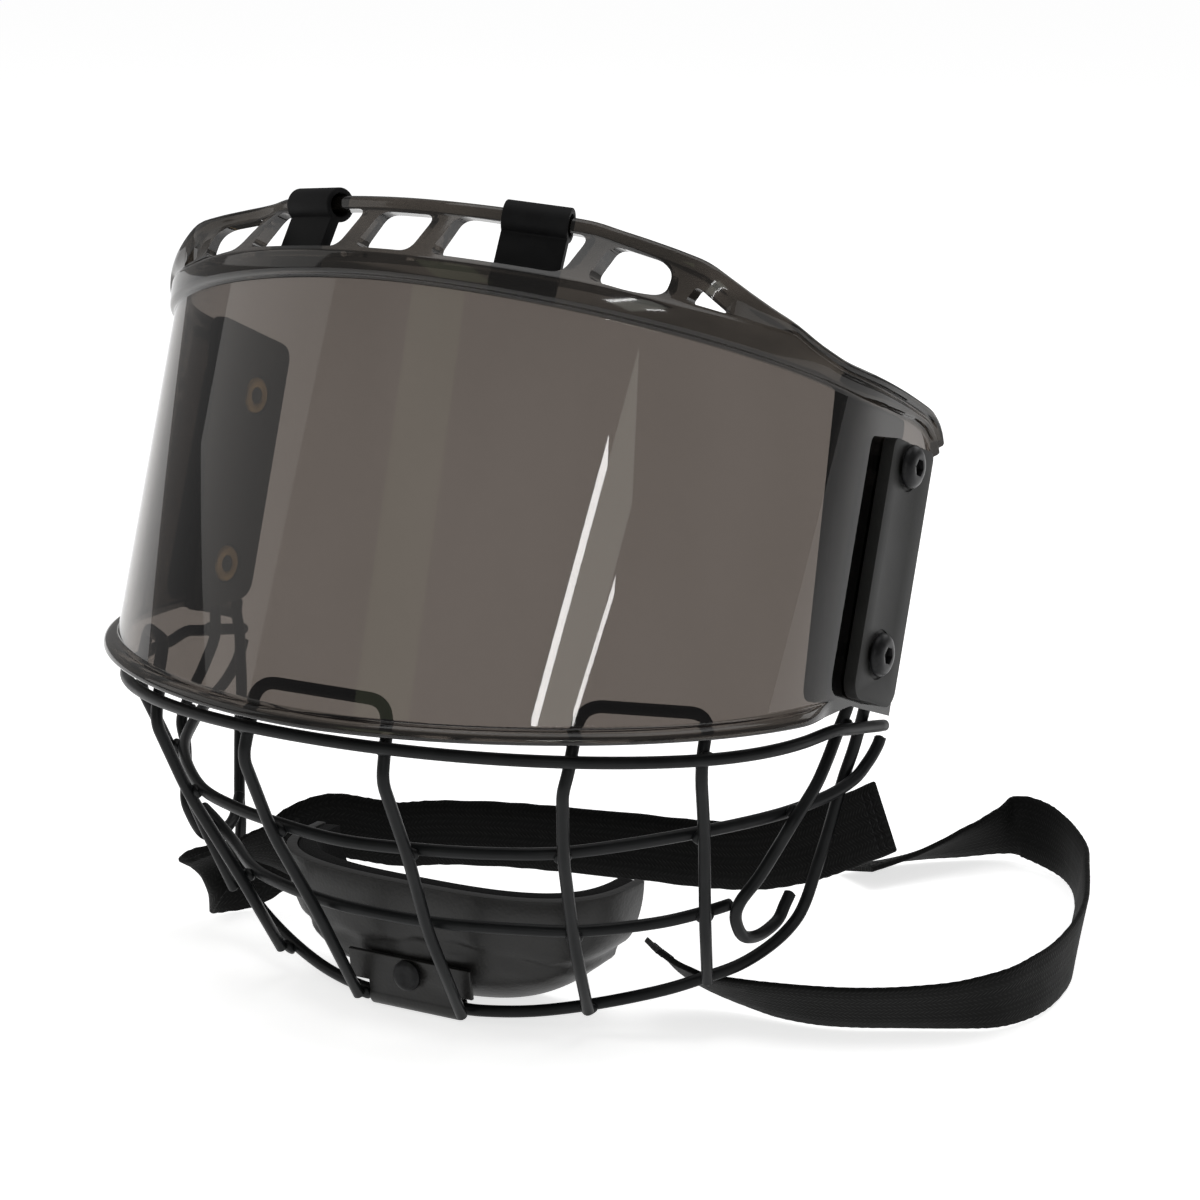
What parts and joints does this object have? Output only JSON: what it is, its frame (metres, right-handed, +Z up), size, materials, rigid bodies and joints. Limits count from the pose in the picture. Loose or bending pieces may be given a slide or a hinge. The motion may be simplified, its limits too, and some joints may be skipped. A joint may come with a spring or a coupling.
{
  "type": "full-face sports visor and cage protector",
  "caption": "Full-face sports protector: smoked wrap-around visor over a powder-coated wire chin cage, with rail loops, bolted side plates, a chin cup and chin straps.",
  "frame": {"origin": "centre of the footprint, on the surface that the protector stands on", "axes": "+X towards the wearer's left, +Y towards the back of the head, +Z up; the face looks along -Y and leans back 19.3 degrees"},
  "size_m": [0.2572, 0.2552, 0.2158],
  "materials": {
    "smoked_polycarbonate": "clear gloss, smoke tint",
    "black_powder_coat": "satin black",
    "charcoal_plastic": "matte charcoal",
    "black_screw": "black oxide",
    "brass_nut": "plain",
    "black_rubber": "matte",
    "black_leather": "soft sheen",
    "black_foam": "brushed lining",
    "black_webbing": "flat woven"
  },
  "bodies": {
    "frame": {"bottom_rail": "black_powder_coat", "centre_hoop": "black_powder_coat", "chin_rail": "black_powder_coat", "left_front_upright": "black_powder_coat", "left_inner_plate": "charcoal_plastic", "left_lower_nut": "brass_nut", "left_lower_screw": "black_screw", "left_outer_plate": "charcoal_plastic", "left_side_hoop": "black_powder_coat", "left_upper_nut": "brass_nut", "left_upper_screw": "black_screw", "middle_rail": "black_powder_coat", "right_front_upright": "black_powder_coat", "right_inner_plate": "charcoal_plastic", "right_lower_nut": "brass_nut", "right_lower_screw": "black_screw", "right_outer_plate": "charcoal_plastic", "right_side_hoop": "black_powder_coat", "right_upper_nut": "brass_nut", "right_upper_screw": "black_screw", "upper_rail": "black_powder_coat", "visor_shell": "smoked_polycarbonate", "left_chin_strap": "black_webbing", "right_chin_strap": "black_webbing"},
    "left_loop": {"left_rail_loop": "black_rubber"},
    "right_loop": {"right_rail_loop": "black_rubber"},
    "cup": {"chin_cup": "black_leather", "chin_cup_liner": "black_foam", "chin_cup_tab": "black_leather", "tab_snap": "black_screw"}
  },
  "joints": [
    {"name": "left_loop_hinge", "type": "hinge", "parent": "frame", "child": "left_loop", "pos_m": [0.01603, -0.06401, 0.20973], "axis": [0.9519, 0.2892, -0.1013], "range_deg": [0, 150]},
    {"name": "right_loop_hinge", "type": "hinge", "parent": "frame", "child": "right_loop", "pos_m": [-0.04954, -0.06401, 0.20973], "axis": [0.9519, -0.2892, 0.1013], "range_deg": [0, 150]},
    {"name": "chin_cup_hinge", "type": "hinge", "parent": "frame", "child": "cup", "pos_m": [-0.01676, -0.07259, 0.00319], "axis": [1, 0, 0], "range_deg": [-10, 0]}
  ]
}
